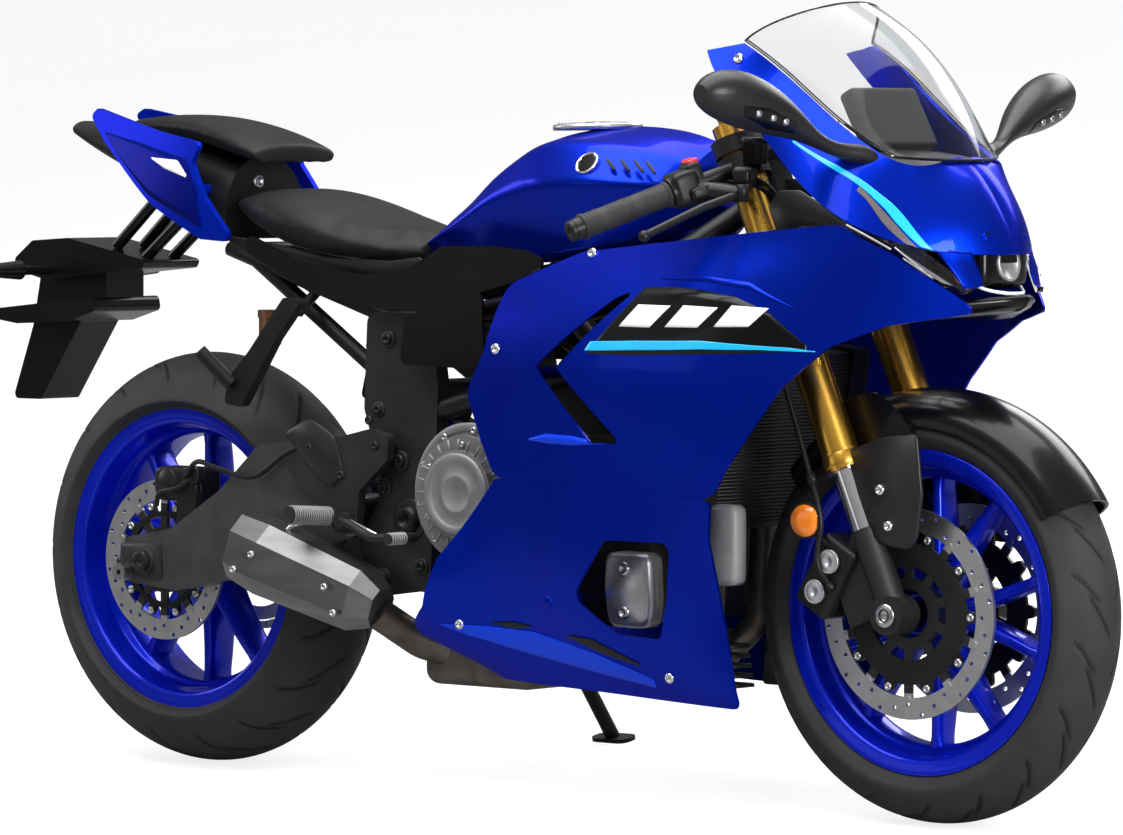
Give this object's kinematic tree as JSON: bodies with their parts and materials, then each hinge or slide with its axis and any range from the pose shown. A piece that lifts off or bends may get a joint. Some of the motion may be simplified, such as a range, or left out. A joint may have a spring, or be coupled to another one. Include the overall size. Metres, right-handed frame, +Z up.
{
  "type": "sport motorcycle",
  "caption": "Fully faired sport bike leaning on its side stand, with turning wheels, steering fork and a folding stand.",
  "frame": {"origin": "on the floor, under the middle of the box of the parked motorcycle", "axes": "+X forward along the wheelbase, +Y to its left, +Z up; it leans 10.5 degrees to its left on the side stand"},
  "size_m": [2.0952, 0.8464, 1.1445],
  "materials": {
    "blue_paint": "deep gloss blue lacquer",
    "blue_cast": "gloss blue powder coat on cast aluminium",
    "black_gloss": "gloss black",
    "black_plastic": "grained matt black",
    "black_metal": "satin black coated metal",
    "grey_cast": "dark grey painted casting",
    "gold_anodised": "gold anodised",
    "bare_steel": "ground steel",
    "exhaust_steel": "brushed stainless steel",
    "header_steel": "heat-darkened stainless steel",
    "spring": "blue coated spring steel",
    "rubber": "rubber",
    "seat_vinyl": "grained vinyl",
    "clear_screen": "clear polycarbonate",
    "lamp_lens": "clear lamp lens",
    "fluid_cup": "smoked fluid cup"
  },
  "bodies": {
    "chassis": {"main_frame": "black_metal", "frame_plates": "black_metal", "swingarm": "grey_cast", "stand_bosses": "grey_cast", "shock": "spring", "engine_block": "grey_cast", "engine_covers": "grey_cast", "radiator": "black_plastic", "exhaust_headers": "header_steel", "muffler": "exhaust_steel", "chain": "bare_steel", "fuel_tank": "blue_paint", "rider_seat": "seat_vinyl", "pillion_seat": "seat_vinyl", "tail_cowls": "blue_paint", "undertail": "black_plastic", "subframe": "black_metal", "side_covers": "black_plastic", "plate_holder": "black_plastic", "pillion_hangers": "black_metal", "brake_reservoir": "fluid_cup", "footrests": "black_metal", "foot_levers": "black_metal", "rear_caliper": "black_metal", "side_fairings": "blue_paint", "belly_pans": "blue_paint", "nose_cowl": "blue_paint", "windscreen": "clear_screen", "instrument_panel": "black_plastic", "front_stay": "black_metal", "headlight": "lamp_lens", "position_lamps": "lamp_lens", "mirrors": "black_plastic"},
    "steering": {"triple_clamps": "black_metal", "fork_tubes": "gold_anodised", "fork_legs": "black_metal", "front_fender": "black_gloss", "front_calipers": "black_metal", "handlebars": "black_metal"},
    "front_wheel": {"front_tyre": "rubber", "front_rim": "blue_cast", "front_discs": "bare_steel"},
    "rear_wheel": {"rear_tyre": "rubber", "rear_rim": "blue_cast", "rear_disc": "bare_steel", "rear_sprocket": "bare_steel"},
    "side_stand": {"side_stand": "black_metal"}
  },
  "joints": [
    {"name": "steering_turn", "type": "hinge", "parent": "chassis", "child": "steering", "pos_m": [0.45771, -0.02893, 0.85386], "axis": [-0.4011, 0.1669, 0.9007], "range_deg": [-26, 26]},
    {"name": "front_wheel_spin", "type": "hinge", "parent": "steering", "child": "front_wheel", "pos_m": [0.74764, -0.13231, 0.29601], "axis": [-0.0001, 0.9833, -0.1822], "continuous": true},
    {"name": "rear_wheel_spin", "type": "hinge", "parent": "chassis", "child": "rear_wheel", "pos_m": [-0.64736, -0.12957, 0.31128], "axis": [-0.0001, 0.9833, -0.1822], "continuous": true},
    {"name": "side_stand_fold", "type": "hinge", "parent": "chassis", "child": "side_stand", "pos_m": [-0.09944, 0.01334, 0.20419], "axis": [0.0517, 0.946, 0.3199], "range_deg": [0, 93]}
  ]
}
